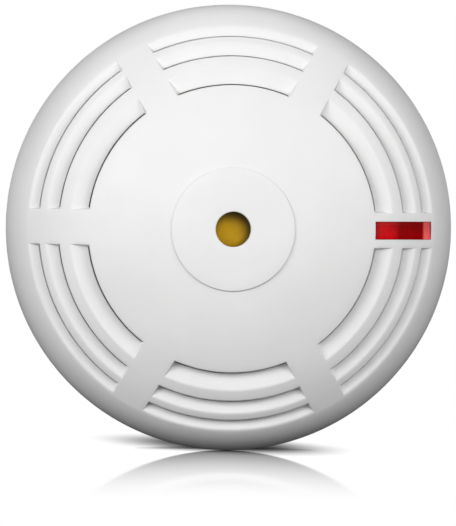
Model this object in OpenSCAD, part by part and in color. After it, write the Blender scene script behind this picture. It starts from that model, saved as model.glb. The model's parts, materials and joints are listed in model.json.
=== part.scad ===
// Ceiling heat detector with a built-in sounder: a twist-on head over a screwed-down base.
// Each piece is drawn lying on its mounting surface, with z pointing out of that surface,
// x to the right and y up. upright() then stands the whole detector against a wall.

/* [Overall] */
// Diameter at the widest part of the head
body_d = 108; // [106:0.5:110]
// Depth from the mounting surface to the crown of the boss
total_depth = 61; // [60:0.5:64]
// Thickness of the moulded walls
wall = 2.2; // [2:0.1:2.3]

/* [Dome] */
// Slope of the dome, in degrees, where the first row of louvres starts
inner_slope = 24.6; // [23:0.2:25]
// Slope of the dome just inside the crease
outer_slope = 40; // [38:0.5:41]
// Slope of the dome just outside the crease
shoulder_slope = 44; // [42:0.5:46]
// Distance from the rim in to the crease
crease_inset = 4.7; // [4.5:0.1:4.8]
// Diameter of the raised boss in the middle
boss_d = 30.2; // [28:0.2:34]
// Height of the raised boss
boss_rise = 0.4; // [0.3:0.1:0.6]
// Diameter of the sound port
port_d = 8.5; // [7:0.5:10]

/* [Louvres] */
// Width of the six straight spokes between the louvres
spoke_w = 8.4; // [7.6:0.2:9.2]
// Inner edge of each row, measured in from the rim
louvre_start = [19, 12.1, 7.4]; // [7:0.1:20]
// Outer edge of each row, measured in from the rim
louvre_end = [14.6, 9, 5]; // [5:0.1:15]
// Width of the slit that lets air past each lip
slit_w = 0.3; // [0.2:0.05:0.4]

/* [Indicator window] */
// Length of the window along its spoke
window_l = 13.3; // [12:0.1:13.4]
// Width of the window
window_w = 4.2; // [3.6:0.1:4.4]

/* [Base] */
// Depth of the base's side wall
base_depth = 15.5; // [15:0.1:15.6]
// Spacing of the screw slots that lie side by side
slot_spacing_across = 60; // [56:1:64]
// Spacing of the screw slots that lie one above the other
slot_spacing_up = 50; // [46:1:54]
// Width of a screw slot
slot_w = 4.4; // [4.2:0.1:5]
// Length of a screw slot, end to end
slot_l = 8; // [7:0.5:9]

/* [Movement] */
// Angle that the head turns to come free, in degrees
twist = 15; // [14:0.5:15]
// Travel of the tamper plunger while the head turns
plunger_travel = 1.5; // [1.3:0.1:1.5]
// Travel of a setting slider
slider_travel = 1.2; // [1:0.1:1.3]

/* [Hidden] */
$fn = 96;
SLIDERS = 3;

WHITE = [0.95, 0.95, 0.94];
RED = [0.72, 0.02, 0.04];
BRASS = [0.72, 0.56, 0.14];
STEEL = [0.75, 0.75, 0.77];
BOARD_GREEN = [0.06, 0.32, 0.16];
DARK = [0.1, 0.1, 0.11];

EPS = 0.05;                     // overshoot of a cutter past the face it opens
GAP = 0.3;                      // clearance between parts that pass each other
SNUG = 0.05;                    // clearance between parts that fit together
SPOKES = 6;
ROWS = [0:2];
LOCKS = 3;
SEAM_AT = 120;

// Dome: three arcs seen in section, steeper towards the rim.
rim_r = body_d / 2;
first_r = rim_r - louvre_start[0];
crease_r = rim_r - crease_inset;
crown_z = total_depth - boss_rise;
crown_arc = first_r / sin(inner_slope);
side_arc = (crease_r - first_r) / (sin(outer_slope) - sin(inner_slope));
shoulder_arc = crease_inset / (1 - sin(shoulder_slope));
crown_c = [0, crown_z - crown_arc];
side_c = crown_c + (crown_arc - side_arc) * [sin(inner_slope), cos(inner_slope)];
crease_z = side_c.y + side_arc * cos(outer_slope);
shoulder_c = [rim_r - shoulder_arc, crease_z - shoulder_arc * cos(shoulder_slope)];

// Head: a drum that drops into the base, closed in front by the cover.
seam = 0.5;                     // gap seen between base and head
skirt_z = base_depth + seam;    // rear edge of the cover
skirt_r = rim_r - 0.8;          // the skirt draws in a little towards the base
drum_r = 46.2;
drum_z = 4.6;                   // rear face of the drum
floor_t = 2;
flange_t = 2;
flange_r = skirt_r - wall - 0.1;
flange_z = skirt_z + flange_t;  // front face of the flange
board_z = 12;                   // rear face of the circuit board
board_t = 1.6;
board_r = 42;
board_front = board_z + board_t;

// Bayonet: lugs on the drum turn in behind ledges on the base.
plate_t = wall;
base_r = rim_r - 2;
base_inner_r = base_r - 2.4;
ledge_t = 2;
lug_t = 2;
lug_z = drum_z + 0.2;
ledge_z = lug_z + lug_t + GAP;
lug_r = base_inner_r - GAP;
ledge_r = drum_r + GAP;
ledge_arc = 14;
lug_arc = 12;
first_lock = 40;                // direction of the first lug

// Louvres.
lip_r = 0.6;                    // rounding of each lip, where the floor dips into the slit
lip_t = 1.4;                    // thickness of a louvre's floor
dome_lip_t = 1.3;               // thickness of the dome's edge over a slit
undercut = 3;                   // how far the opening runs back under the dome's edge

// Sounder: a brass disc with a ceramic layer, held in a ring under the boss.
diaphragm_r = 13.7;
diaphragm_t = 0.3;
diaphragm_z = total_depth - 4.3;
ceramic_t = 0.25;
chamber_r = 12.6;
holder_r = diaphragm_r + 0.2;
holder_t = 1.6;
holder_h = 5;
clamp_h = 4;

// Fasteners.
cover_screw_r = 48.5;           // radius of the ring on which the cover screws stand
cover_screw_at = [60, 180, 300];
cover_boss_r = 2.3;
cover_screw_shank = 1.1;
cover_screw_head = 1.9;
screw_head_t = 1.4;
board_screw_ring = 38;
board_screw_at = [65, 205, 325];
board_screw_shank = 1;
board_screw_head = 2;
post_r = 3;

// Light pipe and lamp.
window_mid = rim_r - 12.15;     // distance of the window's middle from the axis
pipe_t = 3.4;                   // depth of the window's lens
pipe_flange = 1.1;              // how far the lens's flange stands out all round
stem_mid = 38.5;
stem_l = 3.6;
stem_w = 3.4;
lamp_h = 1.4;

// Heat sensors.
sensor_ring = 37;
sensor_at = [30, 150];
sensor_bead_r = 1.3;
sensor_z = 44.9;
sensor_post_z = 38;
lead_r = 0.3;
lead_gap = 0.9;                 // distance of a lead from the post's middle

// Battery, in a pocket that opens at the rear.
cell_r = 8.5;
cell_l = 33.5;
cell_nub = 1;
cell_z = drum_z + 8.6;
pocket_y = -13;
pocket_l = 40.6;
pocket_w = 2 * cell_r + 0.6;
pocket_wall = 1.5;
pocket_top = cell_z + cell_r + GAP;
contact_t = 0.4;
contact_w = 5;
spring_wire_r = 0.45;
spring_l = pocket_l - 2 * contact_t - cell_l - cell_nub;
cell_x = pocket_l / 2 - contact_t - cell_nub - cell_l;

// Tamper plunger, which rides down a ramp on the base as the head turns.
plunger_at = 34;                // distance of the plunger from the axis
plunger_r = 1.55;
plunger_tip_z = 4.1;
collar_r = 2.4;
collar_t = 0.8;
sleeve_r = 3;
plunger_top = 9.4;
sleeve_h = plunger_top - collar_t - plunger_travel - 0.15 - (drum_z + floor_t);
button_h = 0.4;
ramp_gap = 0.1;
ramp_w = 5;
ramp_run = plunger_at * twist * PI / 180;
ramp_slope = atan(plunger_travel / ramp_run);
ramp_high = plunger_tip_z - ramp_gap;

// Setting switch, in a window in the drum's floor.
setting_at = [-20, 20];
pitch = 2.54;
block_size = [SLIDERS * pitch + 1.4, 6.2];
block_h = 4;
slot_depth = 0.7;
slider_size = [1.1, 1.4, 1.6];
groove_w = slider_size.x + 0.2;
groove_l = slider_size.y + slider_travel + 0.2;

function arc(c, r, from, to, steps) =
    [for (i = [0:steps]) let (a = from + (to - from) * i / steps) c + r * [sin(a), cos(a)]];
function tail(list) = [for (i = [1:len(list) - 1]) list[i]];
function inside(list) = [for (i = [1:len(list) - 2]) list[i]];
function reversed(list) = [for (i = [len(list) - 1:-1:0]) list[i]];
function on_arc(c, r, x) = c.y + sqrt(r * r - (x - c.x) * (x - c.x));
function dome_z(x) = x < first_r ? on_arc(crown_c, crown_arc, x)
    : x < crease_r ? on_arc(side_c, side_arc, x)
    : on_arc(shoulder_c, shoulder_arc, x);

// The crease where the side arc meets the shoulder, moved in along the middle of its corner.
function crease(inset) = let (middle = (outer_slope + shoulder_slope) / 2, half = (shoulder_slope - outer_slope) / 2)
    [crease_r, crease_z] - inset / cos(half) * [sin(middle), cos(middle)];

// The dome's outline from crown to rim, moved in by the given distance.
function dome_line(inset) = concat(
    arc(crown_c, crown_arc - inset, 0, inner_slope, 8),
    inside(arc(side_c, side_arc - inset, inner_slope, outer_slope, 7)),
    [crease(inset)],
    tail(arc(shoulder_c, shoulder_arc - inset, shoulder_slope, 90, 12))
);

function bezier(p, n) = [for (i = [0:n]) let (t = i / n, u = 1 - t)
    u * u * u * p[0] + 3 * u * u * t * p[1] + 3 * u * t * t * p[2] + t * t * t * p[3]];
function helix(r0, r1, l, turns, per_turn) = [for (i = [0:turns * per_turn])
    let (f = i / (turns * per_turn), a = 360 * i / per_turn, r = r0 + (r1 - r0) * f)
    [r * cos(a), r * sin(a), l * f]];
function unit(v) = v / norm(v);

module upright() rotate([90, 0, 0]) children();
module around(angles) for (a = angles) rotate(a) children();
module box_at(centre, size, z, h) {
    translate([centre.x - size.x / 2, centre.y - size.y / 2, z]) cube([size.x, size.y, h]);
}
module rod(r, z0, z1) translate([0, 0, z0]) cylinder(r = r, h = z1 - z0);
module tube(outer, inner, z0, z1) {
    difference() {
        rod(outer, z0, z1);
        rod(inner, z0 - EPS, z1 + EPS);
    }
}

// A round wire along a path, as one closed skin of rings. up is any direction that the path never takes.
module wire(path, r, up, sides = 8) {
    last = len(path) - 1;
    rings = [for (i = [0:last])
        let (t = unit(path[min(i + 1, last)] - path[max(i - 1, 0)]), u = unit(cross(up, t)), v = cross(t, u))
        for (k = [0:sides - 1]) path[i] + r * (cos(360 * k / sides) * u + sin(360 * k / sides) * v)];
    skin = [for (i = [0:last - 1], k = [0:sides - 1], half = [0, 1])
        let (n = (k + 1) % sides, a = i * sides, b = a + sides)
        half == 0 ? [a + k, b + k, b + n] : [a + k, b + n, a + n]];
    start = [for (k = [0:sides - 1]) k];
    end = [for (k = [sides - 1:-1:0]) last * sides + k];
    polyhedron(points = rings, faces = concat(skin, [start, end]), convexity = 6);
}

// A full turn that starts in a spoke with nothing on it.
module turned() rotate(SEAM_AT) rotate_extrude() children();

// Everything inside the dome's surface, moved in by the given distance.
module dome_fill(inset) {
    turned() polygon(concat(dome_line(inset), [[skirt_r - inset, skirt_z], [0, skirt_z]]));
}

// ---- Base ----

module screw_slot(w, l, z0, z1) {
    translate([0, 0, z0]) linear_extrude(z1 - z0) {
        square([l - w, w], center = true);
        for (side = [-1, 1]) translate([side * (l - w) / 2, 0]) circle(d = w);
    }
}

module slot_places() {
    for (side = [-1, 1]) {
        translate([side * slot_spacing_across / 2, 0]) children();
        translate([0, side * slot_spacing_up / 2]) rotate(90) children();
    }
}

// A straight ramp, set square to the middle of the plunger's short path.
module plunger_ramp() {
    drop = tan(ramp_slope);
    plane_z = plunger_tip_z + plunger_r - (plunger_r + ramp_gap) / cos(ramp_slope);
    top_at = (plane_z - ramp_high) / drop;
    foot_at = (plane_z - plate_t) / drop;
    sunk = plate_t - 0.5;
    section = [[-3, sunk], [-3, ramp_high], [top_at, ramp_high], [foot_at, plate_t], [foot_at, sunk]];
    rotate(twist / 2) translate([ramp_run / 2, plunger_at + ramp_w / 2, 0])
        rotate([90, 0, 0]) mirror([1, 0, 0]) linear_extrude(ramp_w) polygon(section);
}

module mounting_base() {
    pad_h = 0.7;
    relief = 0.6;
    relief_r = [40, 47];
    stop_arc = 4;
    ring_rib = [17, 18.2];
    rim_section = [[0, 0], [base_r - 1.6, 0], [base_r - 0.8, 0.8], [base_r, base_depth - 0.4],
        [base_r - 0.4, base_depth], [base_inner_r, base_depth], [base_inner_r, plate_t], [0, plate_t]];
    color(WHITE) difference() {
        union() {
            rotate_extrude() polygon(rim_section);
            around([for (i = [0:LOCKS - 1]) first_lock + i * 360 / LOCKS]) {
                rotate_extrude(angle = ledge_arc, start = -ledge_arc / 2)
                    translate([ledge_r, ledge_z]) square([base_inner_r - ledge_r + 0.5, ledge_t]);
                rotate_extrude(angle = stop_arc, start = -ledge_arc / 2 - stop_arc + 0.5)
                    translate([ledge_r, plate_t - 0.5])
                        square([base_inner_r - ledge_r + 0.5, ledge_z + ledge_t - plate_t + 0.5]);
            }
            rotate_extrude() translate([ring_rib[0], plate_t - 0.5])
                square([ring_rib[1] - ring_rib[0], pad_h + 0.5]);
            slot_places() screw_slot(slot_w + 5, slot_l + 5, plate_t - 0.5, plate_t + pad_h);
            plunger_ramp();
        }
        slot_places() screw_slot(slot_w, slot_l, -EPS, plate_t + pad_h + EPS);
        around([for (i = [0:3]) 45 + i * 90])
            rotate_extrude(angle = 70, start = -35) translate([relief_r[0], -EPS])
                square([relief_r[1] - relief_r[0], relief + EPS]);
    }
}

// ---- Cover ----

// What is cut away for one row of louvres, seen in section.
module louvre_section(start_r, end_r) {
    floor_z = dome_z(end_r);
    under_z = dome_z(start_r) - dome_lip_t;
    below = floor_z - lip_t - 1;
    lip_x = start_r + slit_w;
    polygon(concat(
        [[end_r, floor_z], [end_r, floor_z + 9], [start_r, floor_z + 9], [start_r, under_z]],
        [[start_r - undercut, under_z], [start_r - undercut, below], [lip_x, below]],
        arc([lip_x + lip_r, floor_z - lip_r], lip_r, -90, 0, 5)
    ));
}

// The floor of one row of louvres, which runs on under the spokes as a rib.
module louvre_floor_section(start_r, end_r) {
    z = dome_z(end_r);
    inner = start_r + slit_w;
    polygon([[inner, z - lip_t], [end_r, z - lip_t], [end_r, z - 0.5], [end_r - 0.8, z + 0.2], [inner, z + 0.2]]);
}

module spokes() {
    around([for (i = [0:SPOKES - 1]) i * 360 / SPOKES])
        translate([0, -spoke_w / 2, 0]) cube([rim_r + 1, spoke_w, total_depth + 1]);
}

module cover_section() {
    boss_r = boss_d / 2;
    boss_arc = crown_arc + boss_rise;
    polygon(concat(dome_line(0), [[skirt_r, skirt_z], [skirt_r - wall, skirt_z]], reversed(dome_line(wall))));
    polygon(concat(arc(crown_c, boss_arc, 0, asin(boss_r / boss_arc), 4),
        [[boss_r, crown_z - 1 - wall / 2], [0, crown_z - 1]]));
    for (row = ROWS) louvre_floor_section(rim_r - louvre_start[row], rim_r - louvre_end[row]);
    seat_z = diaphragm_z + diaphragm_t;
    translate([chamber_r, seat_z]) square([holder_r + holder_t - chamber_r, crown_z - 1.2 - wall / 2 - seat_z]);
    translate([holder_r, diaphragm_z - holder_h]) square([holder_t, holder_h + 1]);
}

module cover_bosses() {
    intersection() {
        dome_fill(wall / 2);
        around(cover_screw_at) {
            translate([cover_screw_r, 0, 0]) rod(cover_boss_r, flange_z, total_depth);
            translate([cover_screw_r + 1, -0.6, flange_z]) cube([rim_r - cover_screw_r, 1.2, total_depth]);
        }
    }
}

module window_box(grow, z0, z1) {
    box_at([window_mid, 0], [window_l + 2 * grow, window_w + 2 * grow], z0, z1 - z0);
}

module front_cover() {
    pilot_depth = 12;
    color(WHITE) difference() {
        union() {
            turned() cover_section();
            cover_bosses();
        }
        difference() {
            turned() for (row = ROWS) louvre_section(rim_r - louvre_start[row], rim_r - louvre_end[row]);
            spokes();
        }
        rod(port_d / 2, diaphragm_z - 1, total_depth + 1);
        window_box(0, skirt_z, total_depth);
        intersection() {
            window_box(pipe_flange + SNUG, skirt_z, total_depth);
            dome_fill(wall);
        }
        around(cover_screw_at) translate([cover_screw_r, 0, 0])
            rod(cover_screw_shank + SNUG, flange_z - EPS, flange_z + pilot_depth);
    }
}

module light_pipe() {
    color(RED) union() {
        difference() {
            union() {
                intersection() {
                    window_box(-SNUG, skirt_z, total_depth);
                    dome_fill(0);
                }
                intersection() {
                    window_box(pipe_flange, skirt_z, total_depth);
                    dome_fill(wall + SNUG);
                }
            }
            dome_fill(pipe_t);
        }
        intersection() {
            box_at([stem_mid, 0], [stem_l, stem_w], board_front + lamp_h + 0.1, total_depth);
            dome_fill(pipe_t - 0.5);
        }
    }
}

// ---- Rear housing ----

module pocket(grow, z0, z1) {
    box_at([0, pocket_y], [pocket_l + 2 * grow, pocket_w + 2 * grow], z0, z1 - z0);
}

module rear_housing() {
    inner_r = drum_r - 2;
    floor_z = drum_z + floor_t;
    section = [[0, drum_z], [drum_r - 0.5, drum_z], [drum_r, drum_z + 0.5], [drum_r, skirt_z], [flange_r, skirt_z],
        [flange_r, flange_z], [inner_r, flange_z], [inner_r, floor_z], [0, floor_z]];
    tail_slot = [pocket_l + 4 * pocket_wall, contact_w + 0.2];
    color(WHITE) difference() {
        union() {
            rotate_extrude() polygon(section);
            around([for (i = [0:LOCKS - 1]) first_lock + i * 360 / LOCKS])
                rotate_extrude(angle = lug_arc, start = -lug_arc / 2)
                    translate([drum_r - 0.5, lug_z]) square([lug_r - drum_r + 0.5, lug_t]);
            pocket(pocket_wall, drum_z, pocket_top + 1);
            around(board_screw_at) translate([board_screw_ring, 0, 0]) rod(post_r, floor_z - 0.5, board_z);
            translate([0, plunger_at, 0]) rod(sleeve_r, floor_z - 0.5, floor_z + sleeve_h);
        }
        pocket(0, drum_z - EPS, pocket_top);
        box_at([0, pocket_y], tail_slot, board_front, contact_t + 0.1);
        around(board_screw_at) translate([board_screw_ring, 0, 0])
            rod(board_screw_shank + SNUG, floor_z + 0.4, board_z + EPS);
        around(cover_screw_at) translate([cover_screw_r, 0, 0]) {
            rod(cover_screw_shank + 0.2, skirt_z - EPS, flange_z + EPS);
            rod(cover_screw_head + 0.15, skirt_z - EPS, skirt_z + screw_head_t);
        }
        translate([0, plunger_at, 0]) rod(plunger_r + SNUG, drum_z - EPS, floor_z + sleeve_h + EPS);
        box_at(setting_at, block_size + [0.6, 0.6], drum_z - EPS, floor_t + 2 * EPS);
    }
}

module cover_screws() {
    color(STEEL) around(cover_screw_at) translate([cover_screw_r, 0, 0]) difference() {
        union() {
            rod(cover_screw_head, skirt_z + 0.1, skirt_z + screw_head_t);
            rod(cover_screw_shank, skirt_z + screw_head_t - 0.1, flange_z + 9);
        }
        rotate(45) for (a = [0, 90]) rotate(a) box_at([0, 0], [2.4, 0.6], skirt_z, 0.8);
    }
}

// ---- Circuit board and what stands on it ----

module circuit_board() {
    color(BOARD_GREEN) difference() {
        rod(board_r, board_z, board_front);
        pocket(pocket_wall + GAP, board_z - EPS, board_front + EPS);
        around(board_screw_at) translate([board_screw_ring, 0, 0])
            rod(board_screw_shank + 0.2, board_z - EPS, board_front + EPS);
    }
}

module board_screws() {
    head_z = board_front + screw_head_t;
    color(STEEL) around(board_screw_at) translate([board_screw_ring, 0, 0]) difference() {
        union() {
            rod(board_screw_head, board_front, head_z);
            rod(board_screw_shank, board_z - 4, board_front + 0.1);
        }
        for (a = [0, 90]) rotate(a) box_at([0, 0], [2.4, 0.6], head_z - 0.8, 1);
    }
}

module indicator_led() {
    color([0.9, 0.9, 0.85]) {
        box_at([stem_mid, 0], [3.2, 2.8], board_front, 0.6);
        translate([stem_mid, 0, 0]) rod(1.2, board_front + 0.5, board_front + lamp_h);
    }
}

// A flat black package with a row of legs along each side.
module microcontroller() {
    side = 9;
    legs = 8;
    leg_pitch = 0.9;
    color(DARK) translate([12, 13, 0]) {
        box_at([0, 0], [side, side], board_front + 0.1, 1.3);
        around([0, 90, 180, 270]) for (i = [0:legs - 1])
            box_at([side / 2 + 0.4, (i - (legs - 1) / 2) * leg_pitch], [1.4, 0.35], board_front, 0.3);
    }
}

module crystal() {
    can = [9.6, 4];
    color(STEEL) translate([-2, 24, board_front]) {
        linear_extrude(0.5) square(can + [1, 0.6], center = true);
        linear_extrude(3.4) {
            square([can.x - can.y, can.y], center = true);
            for (side = [-1, 1]) translate([side * (can.x - can.y) / 2, 0]) circle(d = can.y);
        }
    }
}

RADIO_AT = [30, -10];
RADIO_T = 0.8;
module radio_board() color([0.05, 0.16, 0.36]) box_at(RADIO_AT, [11.6, 17], board_front, RADIO_T);
module radio_shield() color(STEEL) box_at(RADIO_AT + [0, -1.5], [10, 12], board_front + RADIO_T, 2);

module antenna() {
    coil_r = 2.2;
    coil_l = 16;
    wire_r = 0.4;
    color(BRASS) translate([26, 28, board_front + wire_r]) wire(helix(coil_r, coil_r, coil_l, 6, 12), wire_r, [0, 0, 1], 6);
}

module capacitors() {
    color(DARK) for (y = [5, -6]) translate([-32, y, 0]) difference() {
        union() {
            box_at([0, 0], [8.2, 8.2], board_front, 0.5);
            rod(4, board_front + 0.4, board_front + 10);
        }
        translate([0, 0, board_front + 1.6]) rotate_extrude() translate([4.2, 0]) circle(r = 0.5);
    }
}

module inductor() {
    color([0.2, 0.2, 0.21]) translate([-12, 8, board_front]) rotate_extrude()
        polygon([[0, 0], [4.4, 0], [4.4, 1.2], [3.1, 1.9], [3.1, 4.2], [4.4, 4.9], [4.4, 6], [0, 6]]);
}

module chip_resistors() {
    color(DARK) for (i = [0:3], j = [0:2])
        box_at([20.5 + 3.4 * i, 5.4 + 2.8 * j], [2, 1.2], board_front, 0.5);
}

// ---- Sounder ----

module sounder_diaphragm() color(BRASS) rod(diaphragm_r, diaphragm_z, diaphragm_z + diaphragm_t);
module piezo_ceramic() color([0.88, 0.88, 0.8]) rod(10, diaphragm_z - ceramic_t, diaphragm_z);
module sounder_clamp_ring() {
    color([0.8, 0.8, 0.8]) tube(diaphragm_r, diaphragm_r - 1.2, diaphragm_z - clamp_h, diaphragm_z);
}

HEADER_AT = [4, 5];
HEADER_H = 5;
WIRE_GAP = 2;
module sounder_wires() {
    wire_r = 0.55;
    solder_t = 0.1;
    top_z = diaphragm_z - ceramic_t - solder_t;
    low_z = board_front + HEADER_H;
    for (side = [-1, 1]) {
        foot = [HEADER_AT.x + side * WIRE_GAP / 2, HEADER_AT.y, low_z];
        head = [side * 4, -3, top_z];
        path = bezier([foot, foot + [0, 0, 14], head - [2, 0, 14], head], 14);
        color(side < 0 ? DARK : RED) wire(path, wire_r, [0, 1, 0]);
    }
}
module wire_header() {
    color([0.92, 0.9, 0.85]) box_at(HEADER_AT, [WIRE_GAP + 3, 4], board_front, HEADER_H);
}

// ---- Heat sensors, on posts that hold them up behind the louvres ----

module at_sensors() around(sensor_at) translate([sensor_ring, 0, 0]) children();
module lead_pair(r, z0, z1) for (side = [-1, 1]) translate([0, side * lead_gap, 0]) rod(r, z0, z1);

module thermistor_beads() {
    color([0.12, 0.1, 0.08]) at_sensors() difference() {
        translate([0, 0, sensor_z]) sphere(sensor_bead_r);
        lead_pair(lead_r + 0.02, sensor_post_z, sensor_z - 0.3);
    }
}
module thermistor_leads() color(STEEL) at_sensors() lead_pair(lead_r, board_front, sensor_z - 0.35);
module thermistor_posts() {
    color([0.9, 0.9, 0.88]) at_sensors() difference() {
        rotate_extrude() polygon([[0, board_front], [3, board_front], [3, board_front + 1.2],
            [2.2, board_front + 3], [1.8, sensor_post_z], [0, sensor_post_z]]);
        lead_pair(lead_r + 0.1, board_front - EPS, sensor_post_z + EPS);
    }
}

// ---- Battery ----

module along_cell() translate([cell_x, pocket_y, cell_z]) rotate([0, 90, 0]) children();
module battery_cell() {
    color([0.15, 0.3, 0.55]) along_cell() rotate_extrude()
        polygon([[0, 0], [cell_r - 0.6, 0], [cell_r, 0.6], [cell_r, cell_l - 0.6], [cell_r - 0.6, cell_l],
            [3, cell_l], [3, cell_l + cell_nub], [0, cell_l + cell_nub]]);
}
module battery_spring() {
    turns = 3;
    color(STEEL) translate([cell_x, pocket_y, cell_z]) rotate([0, -90, 0])
        translate([0, 0, spring_wire_r]) wire(helix(3, 6, spring_l - 2 * spring_wire_r, turns, 14), spring_wire_r, [0, 0, 1], 6);
}
// Each contact is a plate at the end of the pocket, with a tail that runs out over the circuit board.
module battery_contacts() {
    plate = 11;
    tail_l = 3.6;
    color(STEEL) for (side = [-1, 1]) translate([side * (pocket_l - contact_t) / 2, pocket_y, 0]) {
        box_at([0, 0], [contact_t, plate], cell_z - plate / 2, plate);
        translate([side * tail_l / 2, 0, 0])
            box_at([0, 0], [tail_l, contact_w], board_front + 0.05, contact_t);
    }
}

// ---- Tamper switch ----

module tamper_switch() {
    body_h = board_z - plunger_top - button_h;
    color(DARK) translate([0, plunger_at, 0]) {
        box_at([0, 0], [6, 6], board_z - body_h, body_h);
        rod(1.2, plunger_top, board_z - body_h + 0.1);
    }
}
module tamper_plunger() {
    color([0.85, 0.85, 0.85]) translate([0, plunger_at, 0]) rotate_extrude() {
        tip_c = [0, plunger_tip_z + plunger_r];
        polygon(concat([[0, plunger_top], [collar_r, plunger_top], [collar_r, plunger_top - collar_t],
            [plunger_r, plunger_top - collar_t]], arc(tip_c, plunger_r, 90, 180, 8)));
    }
}

// ---- Setting switch ----

function slider_x(i) = setting_at.x + (i - (SLIDERS + 1) / 2) * pitch;
slider_y = setting_at.y - slider_travel / 2;
block_z = board_z - block_h;

module setting_switch_block() {
    color([0.1, 0.2, 0.55]) difference() {
        box_at(setting_at, block_size, block_z, block_h);
        for (i = [1:SLIDERS])
            box_at([slider_x(i), setting_at.y], [groove_w, groove_l], block_z - EPS, slot_depth + EPS);
    }
}
module setting_slider(i) {
    slider_z = block_z + slot_depth - 0.1 - slider_size.z;
    color(WHITE) box_at([slider_x(i), slider_y], slider_size, slider_z, slider_size.z);
}

upright() mounting_base();
upright() front_cover();
upright() rear_housing();
upright() light_pipe();
upright() indicator_led();
upright() circuit_board();
upright() board_screws();
upright() cover_screws();
upright() sounder_diaphragm();
upright() piezo_ceramic();
upright() sounder_clamp_ring();
upright() sounder_wires();
upright() wire_header();
upright() thermistor_beads();
upright() thermistor_leads();
upright() thermistor_posts();
upright() microcontroller();
upright() crystal();
upright() radio_board();
upright() radio_shield();
upright() antenna();
upright() capacitors();
upright() inductor();
upright() chip_resistors();
upright() battery_cell();
upright() battery_spring();
upright() battery_contacts();
upright() tamper_switch();
upright() tamper_plunger();
upright() setting_switch_block();
for (i = [1:SLIDERS]) upright() setting_slider(i);
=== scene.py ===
"""Looks of a round white heat detector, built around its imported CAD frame.

All is in metres in the CAD frame. The detector's axis is Y, its dome faces -Y and the wall is at y = 0.
Sections are drawn in millimetres as (radius from the axis, height out of the wall) and turned about the axis.
"""

import json
import math
from collections import namedtuple

import bmesh
import bpy
from mathutils import Matrix, Vector

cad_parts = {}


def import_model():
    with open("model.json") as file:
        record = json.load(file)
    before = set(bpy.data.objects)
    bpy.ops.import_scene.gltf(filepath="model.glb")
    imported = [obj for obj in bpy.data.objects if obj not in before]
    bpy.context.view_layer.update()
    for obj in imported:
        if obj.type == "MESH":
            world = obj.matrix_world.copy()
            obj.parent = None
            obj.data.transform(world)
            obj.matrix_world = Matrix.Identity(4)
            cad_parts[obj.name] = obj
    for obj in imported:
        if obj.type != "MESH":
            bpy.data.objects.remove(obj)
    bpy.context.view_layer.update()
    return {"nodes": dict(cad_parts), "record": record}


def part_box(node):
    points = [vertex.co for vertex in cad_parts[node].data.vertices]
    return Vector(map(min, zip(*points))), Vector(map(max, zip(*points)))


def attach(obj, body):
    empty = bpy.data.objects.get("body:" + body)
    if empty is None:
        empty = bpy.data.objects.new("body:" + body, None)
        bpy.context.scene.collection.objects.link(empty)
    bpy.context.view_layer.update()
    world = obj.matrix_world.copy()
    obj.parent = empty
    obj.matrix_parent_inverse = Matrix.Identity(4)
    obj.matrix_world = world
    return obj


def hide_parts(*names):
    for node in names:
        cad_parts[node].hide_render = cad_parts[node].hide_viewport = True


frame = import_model()

MM = 0.001
TURN = 2 * math.pi
QUARTER = math.pi / 2

# ---- Sizes, in millimetres ----

cover_low, cover_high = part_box("front_cover")
RIM_R = (cover_high.x - cover_low.x) / 2 / MM
SKIRT_H = -cover_high.y / MM            # rear edge of the cover
CROWN_H = 61.0                          # middle of the boss, if the port didn't pierce it
WALL = 2.2
SKIRT_DRAFT = 0.8                       # how far the skirt draws in towards the base
REAR_EDGE_R = 0.5                       # rounding of the skirt's rear edge

# The dome is three arcs: the crown, a steeper one to the crease, and the shoulder from there to the rim.
CROWN_INSET = 19.0                      # where the crown's arc meets the second one, in from the rim
CREASE_INSET = 4.7
INNER_SLOPE = math.radians(24.6)        # slope where the crown's arc ends
OUTER_SLOPE = math.radians(40)          # slope just inside the crease
SHOULDER_SLOPE = math.radians(44)       # slope just outside it

BOSS_R = 14.95
BOSS_RISE = 0.4
BOSS_EDGE_R = 0.22
BOSS_FOOT_R = 0.07
PORT_R = 4.25
PORT_EDGE_R = 0.3

SPOKES = 6
SPOKE_W = 8.4
SPOKE_STEADY_R = 32.0                   # inside this radius a spoke is a wedge of the dome, not a strip
SPOKE_EDGE = 0.04                       # share of a spoke's half width taken by its rounded edge
SPOKE_EDGE_DROP = 0.08
SPOKE_EDGE_FADE = 0.4                   # distance from a louvre's inner or outer edge over which it sets in

LOUVRES = [(19.3, 14.9), (12.35, 9.25), (7.65, 5.25)]    # each row's inner and outer edge, in from the rim
SLITS = (0.19, 0.1, 0.06)               # air gap at each row's lip
EDGE_R = 0.3                            # rounding of the dome's edges over the louvres
DOME_LIP_T = 1.3                        # thickness of the dome there
UNDER_CHAMFER = 0.12
UNDER_REACH = 6.0                       # the underside there is shorter than this
LIP_R = 0.15                            # rounding of the lip at each louvre's floor
LIP_T = 1.4
BLEND = 0.4                             # reach of the soft edge where a louvre's floor meets the dome
END_DRAFT = math.tan(math.radians(14))  # slant of the spokes' sides, so the cover leaves its mould

WINDOW_W = 4.38
WINDOW_ENDS = (34.65, 48.55)            # radii
LENS_GAP = 0.07                         # air round the lens
LENS_SUNK = 0.12                        # how far its face lies below the spoke's
LENS_EDGE = 0.25
LENS_CHAMFER = 0.07
LENS_DEPTH = 3.4

DIAPHRAGM_R = 13.7
DIAPHRAGM_H = 57.0
HOLDER_H = 51.7
HOLDER_T = 1.6
HOLDER_PLAY = 0.2
CHAMBER_R = 12.6

# ---- Fineness of the meshes ----

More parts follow.
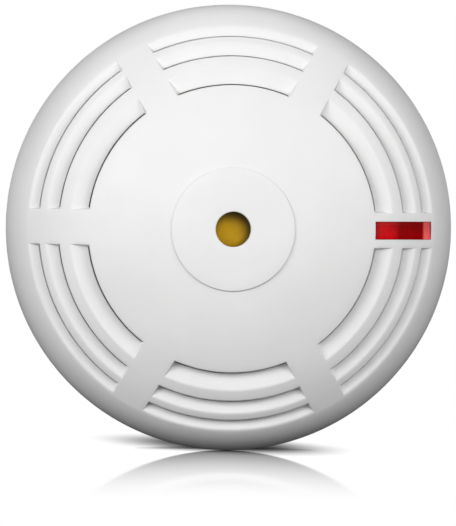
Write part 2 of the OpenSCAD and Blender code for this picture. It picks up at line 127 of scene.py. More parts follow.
ROW_STEP = 1.6                          # distance between rows of faces along the dome
HIDDEN_ROW_STEP = 3.0
CURVE_STEPS = 4
LIP_STEPS = 6
SHOULDER_ROWS = 14
SKIRT_ROWS = 6
INNER_SHOULDER_ROWS = 6
INNER_SHOULDER_STEP = 1 / 8             # in radians
SECTOR_COLUMNS = 34
LENS_ROWS = 16
HALVINGS = 60                           # rounds of the search for a radius
SAME = 1e-6
ON_DOME = 0.001                         # a point this near to the dome's surface lies on it

FIRST_R = RIM_R - CROWN_INSET
CREASE_R = RIM_R - CREASE_INSET
DOME_H = CROWN_H - BOSS_RISE


# ---- The dome's section: three arcs, each (centre radius, centre height, arc radius) ----

def dome_arcs():
    crown = FIRST_R / math.sin(INNER_SLOPE)
    side = (CREASE_R - FIRST_R) / (math.sin(OUTER_SLOPE) - math.sin(INNER_SLOPE))
    shoulder = CREASE_INSET / (1 - math.sin(SHOULDER_SLOPE))
    crown_h = DOME_H - crown
    side_r = (crown - side) * math.sin(INNER_SLOPE)
    side_h = crown_h + (crown - side) * math.cos(INNER_SLOPE)
    crease_h = side_h + side * math.cos(OUTER_SLOPE)
    shoulder_h = crease_h - shoulder * math.cos(SHOULDER_SLOPE)
    return (0.0, crown_h, crown), (side_r, side_h, side), (RIM_R - shoulder, shoulder_h, shoulder)


CROWN_ARC, SIDE_ARC, SHOULDER_ARC = dome_arcs()
RIM_H = SHOULDER_ARC[1]                 # height at which the cover is widest


def on_arc(arc, r, inset=0.0):
    """Height of an arc, or of one that runs inset below it, at radius r."""
    centre_r, centre_h, radius = arc
    return centre_h + math.sqrt(max((radius - inset) ** 2 - (r - centre_r) ** 2, 0.0))


def arc_point(arc, slope, inset=0.0):
    centre_r, centre_h, radius = arc
    reach = radius - inset
    return centre_r + reach * math.sin(slope), centre_h + reach * math.cos(slope)


def inner_crease():
    middle = (OUTER_SLOPE + SHOULDER_SLOPE) / 2
    reach = WALL / math.cos((SHOULDER_SLOPE - OUTER_SLOPE) / 2)
    return CREASE_R - reach * math.sin(middle)


INNER_FIRST_R = arc_point(CROWN_ARC, INNER_SLOPE, WALL)[0]
INNER_CREASE_R = inner_crease()


def outer_h(r):
    if r < FIRST_R:
        return on_arc(CROWN_ARC, r)
    return on_arc(SIDE_ARC, r) if r < CREASE_R else on_arc(SHOULDER_ARC, r)


def inner_h(r):
    if r < INNER_FIRST_R:
        return on_arc(CROWN_ARC, r, WALL)
    return on_arc(SIDE_ARC, r, WALL) if r < INNER_CREASE_R else on_arc(SHOULDER_ARC, r, WALL)


def boss_h(r):
    centre_r, centre_h, radius = CROWN_ARC
    return on_arc((centre_r, centre_h, radius + BOSS_RISE), r)


# ---- Paths along the section ----

def rows(height, start, end, step=ROW_STEP):
    """Points along a surface from one radius to another, both included."""
    count = max(1, math.ceil(abs(end - start) / step))
    radii = [start + (end - start) * i / count for i in range(count + 1)]
    return [(r, height(r)) for r in radii]


def through(height, stops):
    """Rows along a surface that pass through every stop."""
    path = []
    for a, b in zip(stops, stops[1:]):
        path += rows(height, a, b)[0 if not path else 1:]
    return path


def curve(a, b, c, steps=CURVE_STEPS):
    """A soft corner at b, from a to c."""
    points = []
    for i in range(steps + 1):
        t = i / steps
        u = 1 - t
        points.append(tuple(u * u * a[k] + 2 * u * t * b[k] + t * t * c[k] for k in (0, 1)))
    return points


def rounded_edge(height, r, size, steps=CURVE_STEPS):
    """The rounded edge of a surface that ends at radius r in a drop."""
    return curve((r - size, height(r - size)), (r, height(r)), (r, height(r) - size), steps)


def where(height, target, low, high):
    """The radius between low and high at which a falling surface passes the target height."""
    for _ in range(HALVINGS):
        middle = (low + high) / 2
        low, high = (middle, high) if height(middle) > target else (low, middle)
    return (low + high) / 2


def key(point):
    """A point rounded for comparing, as the same point can be worked out in two ways."""
    return round(point[0], 4), round(point[1], 4)


def between(path, first, last):
    """The stretch of a path from one of its points to another, both included."""
    keys = [key(point) for point in path]
    return path[keys.index(key(first)):keys.index(key(last)) + 1]


# ---- Mesh building ----

def polar(r, angle, h):
    return Vector((r * math.cos(angle), -h, r * math.sin(angle))) * MM


class Turned:
    """Faces between points of a section and columns round the axis."""

    def __init__(self, place):
        self.bm = bmesh.new()
        self.place = place
        self.made = {}

    def vert(self, point, column):
        name = (*key(point), column)
        if name not in self.made:
            self.made[name] = self.bm.verts.new(self.place(point, column))
        return self.made[name]

    def face(self, points, column):
        """One face across the section in a single column."""
        self.add([self.vert(point, column) for point in points])

    def strip(self, points, left, right):
        """A row of faces along the section between two columns."""
        for p, q in zip(points, points[1:]):
            self.add([self.vert(p, left), self.vert(q, left), self.vert(q, right), self.vert(p, right)])

    def add(self, corners):
        verts = []
        for v in corners:
            if v not in verts:
                verts.append(v)
        if len(verts) > 2 and self.bm.faces.get(verts) is None:
            self.bm.faces.new(verts)


def finish_piece(bm, name, material, body, sharp=math.radians(32)):
    """Turns mesh data into a piece that rides on a body, smooth except for edges over the sharp angle."""
    bmesh.ops.recalc_face_normals(bm, faces=bm.faces)
    for f in bm.faces:
        f.smooth = True
    for e in bm.edges:
        if len(e.link_faces) == 2 and e.calc_face_angle(0) > sharp:
            e.smooth = False
    mesh = bpy.data.meshes.new(name)
    bm.to_mesh(mesh)
    bm.free()
    piece = bpy.data.objects.new(name, mesh)
    bpy.context.scene.collection.objects.link(piece)
    mesh.materials.append(material)
    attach(piece, body)
    return piece


# ---- Materials ----

NOISE_SPAN = (0.3, 0.7)


def new_material(name, colour, roughness, **sockets):
    material = bpy.data.materials.new(name)
    material.use_nodes = True
    shader = material.node_tree.nodes["Principled BSDF"]
    shader.inputs["Base Color"].default_value = (*colour, 1)
    shader.inputs["Roughness"].default_value = roughness
    for socket, value in sockets.items():
        shader.inputs[socket.replace("_", " ")].default_value = value
    return material, material.node_tree, shader


def object_place(tree):
    return tree.nodes.new("ShaderNodeTexCoord").outputs["Object"]


def noise(tree, size_mm, detail=2.0, squash=(1, 1, 1)):
    """A noise whose grains are about size_mm across."""
    mapping = tree.nodes.new("ShaderNodeMapping")
    mapping.inputs["Scale"].default_value = squash
    texture = tree.nodes.new("ShaderNodeTexNoise")
    texture.inputs["Scale"].default_value = 1 / (size_mm * MM)
    texture.inputs["Detail"].default_value = detail
    tree.links.new(object_place(tree), mapping.inputs["Vector"])
    tree.links.new(mapping.outputs["Vector"], texture.inputs["Vector"])
    return texture.outputs["Fac"]


def map_range(tree, value, from_low, from_high, low, high, kind="LINEAR"):
    node = tree.nodes.new("ShaderNodeMapRange")
    node.interpolation_type = kind
    limits = {"From Min": from_low, "From Max": from_high, "To Min": low, "To Max": high}
    for socket, number in limits.items():
        node.inputs[socket].default_value = number
    tree.links.new(value, node.inputs["Value"])
    return node.outputs["Result"]


def spread(tree, value, low, high):
    """Maps a noise from its usual span to low..high."""
    return map_range(tree, value, *NOISE_SPAN, low, high)


def combine(tree, operation, a, b):
    """The product, sum or other result of two values. The second may be a plain number."""
    node = tree.nodes.new("ShaderNodeMath")
    node.operation = operation
    tree.links.new(a, node.inputs[0])
    if isinstance(b, float):
        node.inputs[1].default_value = b
    else:
        tree.links.new(b, node.inputs[1])
    return node.outputs[0]


def scaled(tree, colour, factor):
    node = tree.nodes.new("ShaderNodeVectorMath")
    node.operation = "SCALE"
    tree.links.new(colour, node.inputs[0])
    tree.links.new(factor, node.inputs["Scale"])
    return node.outputs["Vector"]


def mix_colours(tree, value, a, b):
    node = tree.nodes.new("ShaderNodeMix")
    node.data_type = "RGBA"
    node.inputs["A"].default_value = (*a, 1)
    node.inputs["B"].default_value = (*b, 1)
    tree.links.new(value, node.inputs["Factor"])
    return node.outputs["Result"]


def bump(tree, shader, value, depth_mm):
    node = tree.nodes.new("ShaderNodeBump")
    node.inputs["Strength"].default_value = 1.0
    node.inputs["Distance"].default_value = depth_mm * MM
    tree.links.new(value, node.inputs["Height"])
    tree.links.new(node.outputs["Normal"], shader.inputs["Normal"])


def moulded(name, colour, roughness, grain_mm=0.25, depth_mm=0.003, tint=0.96):
    """Injection-moulded plastic: a fine spark-eroded grain, and slight unevenness in shade and gloss."""
    material, tree, shader = new_material(name, colour, roughness)
    shade = spread(tree, noise(tree, size_mm=18, detail=3), 0, 1)
    darker = tuple(c * tint for c in colour)
    tree.links.new(mix_colours(tree, shade, colour, darker), shader.inputs["Base Color"])
    gloss = spread(tree, noise(tree, size_mm=6, detail=3), roughness - 0.04, roughness + 0.05)
    tree.links.new(gloss, shader.inputs["Roughness"])
    bump(tree, shader, noise(tree, grain_mm), depth_mm)
    return material


def rolled_metal(name, colour, roughness, grain=(1, 1, 14), grain_mm=0.8, metallic=1.0, tint=0.82):
    """Sheet or drawn metal with fine parallel rolling marks."""
    material, tree, shader = new_material(name, colour, roughness, Metallic=metallic)
    marks = noise(tree, grain_mm, detail=4, squash=grain)
    tree.links.new(spread(tree, marks, roughness - 0.07, roughness + 0.1), shader.inputs["Roughness"])
    darker = tuple(c * tint for c in colour)
    shade = spread(tree, noise(tree, size_mm=3, detail=3), 0, 1)
    tree.links.new(mix_colours(tree, shade, colour, darker), shader.inputs["Base Color"])
    bump(tree, shader, marks, depth_mm=0.002)
    return material


WHITE = moulded("white_moulded", (0.88, 0.88, 0.877), 0.5)
WHITE.node_tree.nodes["Principled BSDF"].inputs["Specular IOR Level"].default_value = 0.35


# ---- Cover ----

# The parts of one row's section. edge and underside belong to the dome over the slit, and lip and floor to
# the bar beyond it. On the inside, meet is where the underside ends, corner and behind are the ends of the
# step at the slit, and rib_r is the radius at which the bar's flat back begins.
Louvre = namedtuple("Louvre", "edge underside lip floor meet corner behind rib_r")


def louvre_points(start, end, slit):
    floor_h = outer_h(end)
    under_h = outer_h(start) - DOME_LIP_T
    lip_r = start + slit
    meet_r = where(inner_h, under_h, start - UNDER_REACH, start)
    underside = [(start, under_h + UNDER_CHAMFER), (start - UNDER_CHAMFER, under_h), (meet_r, under_h)]
    angles = [QUARTER * i / LIP_STEPS for i in range(LIP_STEPS + 1)]
    lip = [(lip_r + LIP_R - LIP_R * math.cos(a), floor_h - LIP_R + LIP_R * math.sin(a)) for a in angles]
    soft = curve((end - BLEND, floor_h), (end, floor_h), (end + BLEND, outer_h(end + BLEND)), steps=5)
    middle = ((lip[-1][0] + soft[0][0]) / 2, floor_h)
    return Louvre(
        edge=rounded_edge(outer_h, start, EDGE_R),
        underside=underside,
        lip=lip,
        floor=[middle] + soft,
        meet=(meet_r, inner_h(meet_r)),
        corner=(lip_r, floor_h - LIP_T),
        behind=(lip_r, inner_h(lip_r)),
        rib_r=where(inner_h, floor_h - LIP_T, start, end),
    )


def outer_path(stops):
    """From the port's edge over the dome and down to the skirt's rear edge."""
    port = curve((PORT_R, boss_h(PORT_R) - PORT_EDGE_R), (PORT_R, boss_h(PORT_R)),
                 (PORT_R + PORT_EDGE_R, boss_h(PORT_R + PORT_EDGE_R)))
    boss = rows(boss_h, PORT_R + PORT_EDGE_R, BOSS_R - BOSS_EDGE_R)
    boss_edge = rounded_edge(boss_h, BOSS_R, BOSS_EDGE_R, steps=3)
    foot_r = BOSS_R + BOSS_FOOT_R
    boss_foot = curve((BOSS_R, outer_h(BOSS_R) + BOSS_FOOT_R), (BOSS_R, outer_h(BOSS_R)),
                      (foot_r, outer_h(foot_r)), steps=3)
    dome = through(outer_h, [foot_r] + sorted(stops) + [CREASE_R])
    steepening = QUARTER - SHOULDER_SLOPE
    shoulder = [arc_point(SHOULDER_ARC, SHOULDER_SLOPE + steepening * i / SHOULDER_ROWS)
                for i in range(1, SHOULDER_ROWS + 1)]
    drop = SKIRT_H + REAR_EDGE_R - RIM_H
    skirt = [(RIM_R - SKIRT_DRAFT * i / SKIRT_ROWS, RIM_H + drop * i / SKIRT_ROWS)
             for i in range(1, SKIRT_ROWS)]
    rear_r = RIM_R - SKIRT_DRAFT
    rear_edge = curve((rear_r, SKIRT_H + REAR_EDGE_R), (rear_r, SKIRT_H), (rear_r - REAR_EDGE_R, SKIRT_H))
    return port + boss[1:] + boss_edge[1:] + boss_foot + dome[1:] + shoulder + skirt + rear_edge


def inner_path(louvres, stops):
    """From the skirt's rear edge up the inside and back to the port."""
    turns = [arc_point(SHOULDER_ARC, QUARTER - i * INNER_SHOULDER_STEP, WALL)[0]
             for i in range(INNER_SHOULDER_ROWS)]
    shoulder = sorted({r for r in turns + stops if r > INNER_CREASE_R}, reverse=True)
    path = [(RIM_R - SKIRT_DRAFT - WALL, SKIRT_H)]
    path += [(r, inner_h(r)) for r in shoulder + [INNER_CREASE_R]]

    def follow(start, end):
        """Along the inside from one radius in to another, through the stops between them."""
        passed = sorted([r for r in stops if end < r < start], reverse=True)
        return through(inner_h, [start] + passed + [end])[1:]

    at = INNER_CREASE_R
    for louvre in reversed(louvres):
        path += follow(at, louvre.rib_r)
        path += [louvre.corner, louvre.lip[0], louvre.behind]
        path += follow(louvre.behind[0], louvre.meet[0])
        at = louvre.meet[0]
    holder_in = DIAPHRAGM_R + HOLDER_PLAY
    holder_out = holder_in + HOLDER_T
    path += rows(inner_h, at, holder_out, HIDDEN_ROW_STEP)[1:]
    path += [(holder_out, HOLDER_H), (holder_in, HOLDER_H)]
    path += [(holder_in, DIAPHRAGM_H), (CHAMBER_R, DIAPHRAGM_H)]
    return path + rows(inner_h, CHAMBER_R, PORT_R, HIDDEN_ROW_STEP)


def sector_loops(louvres, outside, inside):
    """The closed loops into which slits cut the section: the dome, two bars, and the skirt with its bar."""
    loops = []
    front = []
    start = outside[0]
    back_end = inside[-1]
    for louvre in louvres:
        loop = front + between(outside, start, louvre.edge[0]) + louvre.edge[1:] + louvre.underside[:-1]
        loops.append(loop + between(inside, louvre.meet, back_end))
        front = louvre.lip + louvre.floor[:-1]
        start = louvre.floor[-1]
        back_end = louvre.corner
    loops.append(front + between(outside, start, outside[-1]) + between(inside, inside[0], back_end))
    return [loop + loop[:1] for loop in loops]


def spoke_edge_drop(r):
    """How far a spoke's edge is rounded down, where it stands beside a louvre."""
    for a, b in LOUVRES:
        reach = min(r - (RIM_R - a), (RIM_R - b) - r)
        if reach > 0:
            return SPOKE_EDGE_DROP * min(reach / SPOKE_EDGE_FADE, 1)
    return 0.0


def cover_place(louvres):
    """The function that places a point of the section in a column.

    A column is (spoke, across, None) on a spoke, with across from -1 to 1 over its width, or
    (spoke, None, share) in the sector after it. Where a spoke's side ends a louvre, it leans out with depth
    by the mould's draft.
    """
    cavity = set()
    for louvre in louvres:
        cavity |= set(louvre.lip + louvre.floor[:-1] + louvre.edge[1:] + louvre.underside[:-1])

    def place(point, column):
        r, h = point
        spoke, across, share = column
        middle = TURN * spoke / SPOKES
        half = math.asin(SPOKE_W / 2 / max(r, SPOKE_STEADY_R))
        if across is None:
            return polar(r, middle + half + (TURN / SPOKES - 2 * half) * share, h)
        if r <= SPOKE_STEADY_R:
            return polar(r, middle + across * half, h)
        reach = across * SPOKE_W / 2
        if abs(across) == 1:
            depth = outer_h(r) - h
            if point in cavity:
                reach += across * max(depth, 0) * END_DRAFT
            elif abs(depth) < ON_DOME:
                h -= spoke_edge_drop(r)
        return polar(r, middle + math.asin(reach / r), h)

    return place


def add_spoke(turned, spoke, section, window_out, window_in):
    """The faces of one spoke. Returns its last column."""
    half_window = WINDOW_W / SPOKE_W
    half_across = [0.25, half_window, 0.75, 1 - SPOKE_EDGE, 1.0]    # shares of the half width
    across = [-share for share in reversed(half_across)] + [0.0] + half_across
    columns = [(spoke, share, None) for share in across]
    cut = set(zip(window_out, window_out[1:])) | set(zip(window_in, window_in[1:]))
    for left, right in zip(columns, columns[1:]):
        in_window = spoke == 0 and max(abs(left[1]), abs(right[1])) <= half_window + SAME
        for step in zip(section, section[1:]):
            if not (in_window and step in cut):
                turned.strip(step, left, right)
        if in_window:
            turned.strip([window_out[0], window_in[-1]], left, right)
            turned.strip([window_in[0], window_out[-1]], left, right)
    return columns[-1]


def add_sector(turned, spoke, loops, left_edge, right_edge):
    """The faces from one spoke's edge to the next spoke's."""
    shares = [(spoke, None, i / SECTOR_COLUMNS) for i in range(1, SECTOR_COLUMNS)]
    columns = [left_edge] + shares + [right_edge]
    for left, right in zip(columns, columns[1:]):
        for loop in loops:
            turned.strip(loop, left, right)


def close_louvre(turned, louvre, outside, inside, column):
    """The side of a spoke that ends a row: the part that is seen, and the part behind the slit."""
    seen = between(outside, louvre.edge[0], louvre.floor[-1])
    seen += reversed(louvre.lip + louvre.floor[:-1])
    seen += reversed(louvre.edge[1:] + louvre.underside[:-1])
    hidden = [louvre.corner, louvre.lip[0], louvre.underside[1]]
    hidden += reversed(between(inside, louvre.behind, louvre.meet))
    turned.face(seen, column)
    turned.face(hidden, column)


def front_cover():
    louvres = [louvre_points(RIM_R - a, RIM_R - b, slit) for (a, b), slit in zip(LOUVRES, SLITS)]
    window_start, window_end = WINDOW_ENDS
    stops = [window_start, window_end]
    for louvre in louvres:
        stops += [louvre.edge[0][0], louvre.floor[-1][0]]
    outside = outer_path(stops)
    inside = inner_path(louvres, [window_end])
    window_out = between(outside, (window_start, outer_h(window_start)), (window_end, outer_h(window_end)))
    window_in = between(inside, (window_end, inner_h(window_end)), louvres[0].behind)
    loops = sector_loops(louvres, outside, inside)
    turned = Turned(cover_place(louvres))
    for spoke in range(SPOKES):
        edge = add_spoke(turned, spoke, outside + inside + outside[:1], window_out, window_in)
        next_edge = ((spoke + 1) % SPOKES, -1.0, None)
        add_sector(turned, spoke, loops, edge, next_edge)
        for louvre in louvres:
            for column in (edge, next_edge):
                close_louvre(turned, louvre, outside, inside, column)
    for sign in (-1, 1):
        turned.face(window_out + window_in, (0, sign * WINDOW_W / SPOKE_W, None))
    piece = finish_piece(turned.bm, "cover_shell", WHITE, "head")
    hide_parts("front_cover")


front_cover()


# ---- Lens of the indicator ----

# Painted light along the lens, as (share of its length, colour): a painted lit half, a dim half and a painted
# pink highlight at the far end.
LENS_PAINTED_LIGHT = [
    (0.0, (0.36, 0.001, 0.002)),
    (0.1, (0.62, 0.004, 0.008)),
    (0.34, (0.58, 0.003, 0.006)),
    (0.44, (0.29, 0.0, 0.001)),
    (0.6, (0.32, 0.0, 0.001)),
    (0.84, (0.3, 0.0, 0.001)),
    (0.88, (1.0, 0.14, 0.14)),
    (0.96, (1.0, 0.13, 0.13)),
    (1.0, (0.5, 0.003, 0.02)),
]


def red_lens():
    """Clear red plastic with painted light: a brighter and a dimmer stretch along it, a painted highlight at
    the far end, and painted shade that darkens it towards the top.
    """
    red = (0.3, 0.002, 0.004)
    material, tree, shader = new_material("red_lens", red, 0.3, IOR=1.2, Specular_IOR_Level=0.25)
    split = tree.nodes.new("ShaderNodeSeparateXYZ")
    tree.links.new(object_place(tree), split.inputs["Vector"])
    along = map_range(tree, split.outputs["X"], WINDOW_ENDS[0] * MM, WINDOW_ENDS[1] * MM, 0.0, 1.0)
    ramp = tree.nodes.new("ShaderNodeValToRGB")
    elements = ramp.color_ramp.elements
    while len(elements) < len(LENS_PAINTED_LIGHT):
        elements.new(0.5)
    for element, (at, colour) in zip(elements, LENS_PAINTED_LIGHT):
        element.position = at
        element.color = (*colour, 1)
    tree.links.new(along, ramp.inputs["Fac"])
    streaks = spread(tree, noise(tree, size_mm=0.5, squash=(1, 1, 0.25)), 0.8, 1.15)
    half_width = WINDOW_W / 2 * MM
    # Painted shade across the lens: lighter towards the bottom, darker towards the top.
    across = map_range(tree, split.outputs["Z"], -half_width, half_width, 1.25, 0.7)
    shade = combine(tree, "MULTIPLY", streaks, across)
    tree.links.new(scaled(tree, ramp.outputs["Color"], shade), shader.inputs["Base Color"])
    return material


def softened(low, high, inner):
    """Places from low to high as (place, how far the face is rounded down there), flat at the inner ones."""
    start = [(low, LENS_EDGE), (low + LENS_CHAMFER, LENS_CHAMFER), (low + LENS_EDGE, 0)]
    end = [(high - LENS_EDGE, 0), (high - LENS_CHAMFER, LENS_CHAMFER), (high, LENS_EDGE)]
    return start + [(place, 0) for place in inner] + end


def indicator_lens():
    """A block that follows the spoke's curve, with rounded edges and straight sides."""
    start = WINDOW_ENDS[0] + LENS_GAP
    end = WINDOW_ENDS[1] - LENS_GAP
    half = WINDOW_W / 2 - LENS_GAP
    flat = end - start - 2 * LENS_EDGE
    lengths = softened(start, end, [start + LENS_EDGE + flat * i / LENS_ROWS for i in range(1, LENS_ROWS)])
    widths = softened(-half, half, (-half / 2, 0, half / 2))
    bm = bmesh.new()

    def vert(r, across, down):
        return bm.verts.new(Vector((r, -(outer_h(r) - LENS_SUNK - down), across)) * MM)

    grid = [[vert(r, w, max(down, side_down)) for w, side_down in widths] for r, down in lengths]
    for row, following in zip(grid, grid[1:]):
        for i in range(len(widths) - 1):
            bm.faces.new([row[i], row[i + 1], following[i + 1], following[i]])
    rim = grid[0] + [row[-1] for row in grid[1:]] + grid[-1][-2::-1] + [row[0] for row in grid[-2:0:-1]]
    low = [bm.verts.new(v.co + Vector((0, LENS_DEPTH, 0)) * MM) for v in rim]
    for i in range(len(rim)):
        j = (i + 1) % len(rim)
        bm.faces.new([rim[i], low[i], low[j], rim[j]])
    bm.faces.new(low)
    piece = finish_piece(bm, "indicator_lens", red_lens(), "head")
    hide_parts("light_pipe")


# ---- Materials of the CAD pieces that stay ----

# The brass disc's painted shade, in place of the port rim's shadow: the middle of its lit patch, and the
# radii at which the painted shade begins and is at its darkest.
LIT_PATCH_AT = Vector((-0.9, -DIAPHRAGM_H, -1.1)) * MM
LIT_PATCH_R = 2.2 * MM
FULL_SHADE_R = 5.4 * MM
DARKEST = 0.12


def brass_with_painted_shade():
    """Brass sheet with painted shade: it darkens away from a lit patch behind the port, standing in for the
    shadow of the port's rim.
    """
    material = rolled_metal("rolled_brass", (0.5, 0.285, 0.004), 0.45, metallic=0.7)
    tree = material.node_tree
    colour = tree.nodes["Principled BSDF"].inputs["Base Color"]
    unshaded_colour = colour.links[0].from_socket
    away = tree.nodes.new("ShaderNodeVectorMath")
    away.operation = "DISTANCE"
    away.inputs[1].default_value = LIT_PATCH_AT
    tree.links.new(object_place(tree), away.inputs[0])
    # Painted shade: the brass colour darkens with distance from the lit patch, towards the upper right and
    # the edges.
    painted_shade = map_range(tree, away.outputs["Value"], LIT_PATCH_R, FULL_SHADE_R, 1.0, DARKEST, "SMOOTHSTEP")
    tree.links.new(scaled(tree, unshaded_colour, painted_shade), colour)
    return material


TRACK_PITCH = 2.4


def board(name, colour):
    """Solder mask over a weave of glass, with the mask's shade following the tracks below it."""
    material, tree, shader = new_material(name, colour, 0.3, Coat_Weight=0.4)
    tracks = tree.nodes.new("ShaderNodeTexVoronoi")
    tracks.distance = "MANHATTAN"
    tracks.inputs["Scale"].default_value = 1 / (TRACK_PITCH * MM)
    tree.links.new(object_place(tree), tracks.inputs["Vector"])
    lighter = tuple(min(1, c * 1.5 + 0.02) for c in colour)
    shade = spread(tree, tracks.outputs["Distance"], 0, 1)
    tree.links.new(mix_colours(tree, shade, colour, lighter), shader.inputs["Base Color"])
    bump(tree, shader, noise(tree, size_mm=0.35), depth_mm=0.004)
    return material


SLOT_MATERIALS = {
    "white_plastic": WHITE,
    "white_trim": moulded("white_trim", (0.82, 0.82, 0.8), 0.4),
    "red_lens": moulded("red_lens_plain", (0.5, 0.005, 0.01), 0.15),
    "clear_plastic": moulded("clear_plastic", (0.75, 0.77, 0.78), 0.12, 0.4, 0.001),
    "grey_plastic": moulded("grey_plastic", (0.42, 0.42, 0.43), 0.5),
    "natural_plastic": moulded("natural_plastic", (0.78, 0.75, 0.66), 0.45),
    "blue_plastic": moulded("blue_plastic", (0.03, 0.1, 0.42), 0.4),
    "wire_sleeve": moulded("wire_sleeve", (0.45, 0.02, 0.02), 0.45, 0.4, 0.004),
    "dark_resin": moulded("dark_resin", (0.02, 0.02, 0.022), 0.42, 0.12, 0.004, 0.7),
    "ferrite": moulded("ferrite", (0.06, 0.06, 0.065), 0.6, 0.15, 0.01, 0.7),
    "ceramic": moulded("ceramic", (0.8, 0.78, 0.7), 0.55, 0.1, 0.004),
    "battery_sleeve": moulded("battery_sleeve", (0.03, 0.1, 0.3), 0.25, 3, 0.01),
    "green_board": board("green_board", (0.01, 0.13, 0.05)),
    "blue_board": board("blue_board", (0.01, 0.05, 0.2)),
    "steel": rolled_metal("plated_steel", (0.72, 0.72, 0.74), 0.3),
    "brass": brass_with_painted_shade(),
    "copper_wire": rolled_metal("enamelled_copper", (0.75, 0.3, 0.12), 0.28, (8, 8, 1), 0.3),
}


def dress_frame():
    slot_of = {part["node"]: part["material_slot"] for part in frame["record"]["subparts"]}
    for node, piece in frame["nodes"].items():
        piece.data.materials.clear()
        piece.data.materials.append(SLOT_MATERIALS[slot_of[node]])


indicator_lens()
dress_frame()


# ---- Stage: white floor, soft lights, camera ----

FLOOR_Z = -RIM_R * MM
FLOOR_HALF = 8.0
FACE_Y = -RIM_H * MM                    # where the rim stands on the floor
SKIRT_Y = -SKIRT_H * MM

# A painted shadow, a soft ellipse in the floor's material: its middle, turn and half axes, and the shares of
# these at which its edge begins and ends.
SHADOW_AT = (0.001, 0.012, 0.0)
SHADOW_TURN = math.radians(98.5)
SHADOW_SIZE = (0.095, 0.028, 1.0)
SHADOW_EDGE = (0.3, 1.05)
SHADOW_DARKEST = 0.08
# Reach of the painted contact shade: occlusion that darkens the floor's glow right under the detector.
CONTACT_REACH = 0.005

# The floor mirrors the detector only where it is seen at a low angle, less and less towards the viewer.
POLISH_LENGTH = 0.37
POLISH = 0.85
POLISH_FADE = 1.5
GRAZING = (0.93, 0.965)


def floor_material():
    """Evenly white, with a painted shadow and painted contact shade under the detector, and a polish that
    fades in front of it.
    """
    material = bpy.data.materials.new("floor_white")
    material.use_nodes = True
    tree = material.node_tree
    tree.nodes.remove(tree.nodes["Principled BSDF"])
    place = object_place(tree)

    ellipse = tree.nodes.new("ShaderNodeMapping")
    ellipse.vector_type = "TEXTURE"
    ellipse.inputs["Location"].default_value = SHADOW_AT
    ellipse.inputs["Rotation"].default_value = (0.0, 0.0, SHADOW_TURN)
    ellipse.inputs["Scale"].default_value = SHADOW_SIZE
    tree.links.new(place, ellipse.inputs["Vector"])
    reach = tree.nodes.new("ShaderNodeVectorMath")
    reach.operation = "LENGTH"
    tree.links.new(ellipse.outputs["Vector"], reach.inputs[0])
    shadow = map_range(tree, reach.outputs["Value"], *SHADOW_EDGE, SHADOW_DARKEST, 1.0, "SMOOTHSTEP")
    contact = tree.nodes.new("ShaderNodeAmbientOcclusion")
    contact.samples = 12
    contact.inputs["Distance"].default_value = CONTACT_REACH
    glow = tree.nodes.new("ShaderNodeEmission")
    tree.links.new(contact.outputs["Color"], glow.inputs["Color"])
    tree.links.new(shadow, glow.inputs["Strength"])

    mirror = tree.nodes.new("ShaderNodeBsdfAnisotropic")
    mirror.inputs["Roughness"].default_value = 0.03
    # The painted shadow also darkens what the polish mirrors.
    tree.links.new(shadow, mirror.inputs["Color"])
    split = tree.nodes.new("ShaderNodeSeparateXYZ")
    tree.links.new(place, split.inputs["Vector"])
    ahead = map_range(tree, split.outputs["Y"], FACE_Y - POLISH_LENGTH, FACE_Y, 0.0, 1.0)
    fade = combine(tree, "POWER", ahead, POLISH_FADE)
    behind = map_range(tree, split.outputs["Y"], FACE_Y, SKIRT_Y, POLISH, 0.0)
    angle = tree.nodes.new("ShaderNodeLayerWeight")
    low_angle = map_range(tree, angle.outputs["Facing"], *GRAZING, 0.0, 1.0)
    polish = combine(tree, "MULTIPLY", combine(tree, "MULTIPLY", fade, behind), low_angle)
    mix = tree.nodes.new("ShaderNodeMixShader")
    tree.links.new(polish, mix.inputs[0])
    tree.links.new(glow.outputs[0], mix.inputs[1])
    tree.links.new(mirror.outputs[0], mix.inputs[2])
    tree.links.new(mix.outputs[0], tree.nodes["Material Output"].inputs["Surface"])
    return material


def stage():
    bm = bmesh.new()
    corners = [(-1, -1), (1, -1), (1, 1), (-1, 1)]
    bm.faces.new([bm.verts.new((x * FLOOR_HALF, y * FLOOR_HALF, FLOOR_Z)) for x, y in corners])
    mesh = bpy.data.meshes.new("floor")
    bm.to_mesh(mesh)
    bm.free()
    floor = bpy.data.objects.new("floor", mesh)
    bpy.context.scene.collection.objects.link(floor)
    mesh.materials.append(floor_material())
    floor.visible_diffuse = False
    floor.visible_glossy = False
    floor.visible_shadow = False


# Each light: direction seen from the detector (azimuth and elevation in degrees), distance and diameter in
# metres, and power in watts.
LIGHTS = {
    "front_left": ((-45, 15), 1.4, 0.9, 12.6),
    "front_right": ((45, 15), 1.4, 0.9, 9.4),
    "front_up": ((0, 28), 1.5, 0.9, 4.6),
    "front_low": ((0, -18), 1.5, 0.9, 2.2),
    "top_back": ((180, 60), 1.3, 1.0, 3.3),
    "back": ((180, 5), 1.4, 0.6, 12.0),
}


def direction(azimuth, elevation):
    a = math.radians(azimuth)
    e = math.radians(elevation)
    return Vector((math.sin(a) * math.cos(e), -math.cos(a) * math.cos(e), math.sin(e)))


def area_light(name, towards, distance, size, power):
    data = bpy.data.lights.new(name, "AREA")
    data.shape = "DISK"
    data.size = size
    data.energy = power
    light = bpy.data.objects.new(name, data)
    aim = direction(*towards)
    light.location = Vector((0, FACE_Y, 0)) + aim * distance
    light.rotation_euler = aim.to_track_quat("Z", "Y").to_euler()
    light.visible_glossy = name != "back"    # the polished floor doesn't mirror this light
    bpy.context.scene.collection.objects.link(light)


# What gloss mirrors, as (from, to, value at from, value at to) along the direction's Y or Z. The room is dim,
# and dimmer behind the detector and below it. A white band along the horizon keeps the polished floor white.
ROOM_BY_Y = (-0.4, 0.3, 0.1, 0.05)
ROOM_BY_Z = (-0.3, -0.05, 0.1, 1.0)
BAND_BOTTOM = (-0.03, 0.0, 0.0, 1.0)
BAND_TOP = (0.08, 0.14, 1.0, 0.0)


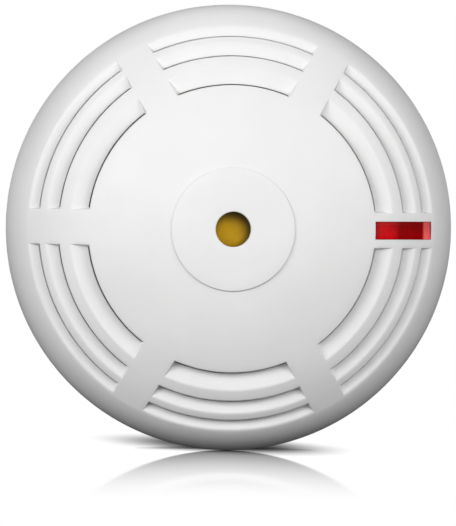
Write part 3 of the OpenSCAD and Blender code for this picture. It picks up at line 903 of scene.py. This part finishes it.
def world():
    """White to the camera, dim to gloss, and dark to matt surfaces, so that only the lights light them."""
    studio = bpy.data.worlds.new("studio")
    bpy.context.scene.world = studio
    studio.use_nodes = True
    studio.cycles.sampling_method = "NONE"
    tree = studio.node_tree
    seen = tree.nodes["Background"]
    seen.inputs["Color"].default_value = (1, 1, 1, 1)
    split = tree.nodes.new("ShaderNodeSeparateXYZ")
    tree.links.new(tree.nodes.new("ShaderNodeTexCoord").outputs["Generated"], split.inputs["Vector"])
    y = split.outputs["Y"]
    z = split.outputs["Z"]
    room = combine(tree, "MULTIPLY", map_range(tree, y, *ROOM_BY_Y), map_range(tree, z, *ROOM_BY_Z))
    band = combine(tree, "MULTIPLY", map_range(tree, z, *BAND_BOTTOM), map_range(tree, z, *BAND_TOP))
    path = tree.nodes.new("ShaderNodeLightPath")
    strength = tree.nodes.new("ShaderNodeMix")
    tree.links.new(path.outputs["Is Diffuse Ray"], strength.inputs["Factor"])
    tree.links.new(combine(tree, "ADD", room, band), strength.inputs["A"])
    strength.inputs["B"].default_value = 0.0
    mirrored = tree.nodes.new("ShaderNodeBackground")
    mirrored.inputs["Color"].default_value = (1, 1, 1, 1)
    tree.links.new(strength.outputs["Result"], mirrored.inputs["Strength"])
    choose = tree.nodes.new("ShaderNodeMixShader")
    tree.links.new(path.outputs["Is Camera Ray"], choose.inputs[0])
    tree.links.new(mirrored.outputs[0], choose.inputs[1])
    tree.links.new(seen.outputs[0], choose.inputs[2])
    tree.links.new(choose.outputs[0], tree.nodes["World Output"].inputs["Surface"])


CAMERA_DISTANCE = 4.0
CAMERA_FROM = (-2.5, 1.05)              # azimuth and elevation in degrees
CAMERA_ROLL = 0.72                      # in degrees
CAMERA_DROP = 0.0086                    # how far below the detector's axis the camera looks
CAMERA_SENSOR = 36
COVER_SHARE = 0.84715                   # the cover's width over the picture's height


def camera():
    data = bpy.data.cameras.new("camera")
    data.sensor_fit = "VERTICAL"
    data.sensor_height = CAMERA_SENSOR
    data.lens = CAMERA_SENSOR * COVER_SHARE * CAMERA_DISTANCE / (2 * RIM_R * MM)
    data.clip_start = 0.05
    data.clip_end = 50
    cam = bpy.data.objects.new("camera", data)
    bpy.context.scene.collection.objects.link(cam)
    back = direction(*CAMERA_FROM)
    cam.location = Vector((0.0, FACE_Y, -CAMERA_DROP)) + back * CAMERA_DISTANCE
    roll = Matrix.Rotation(math.radians(CAMERA_ROLL), 4, "Z")
    cam.rotation_euler = (back.to_track_quat("Z", "Y").to_matrix().to_4x4() @ roll).to_euler()
    bpy.context.scene.camera = cam


stage()
world()
camera()
for name, light in LIGHTS.items():
    area_light(name, *light)

bpy.context.scene.view_settings.view_transform = "Standard"
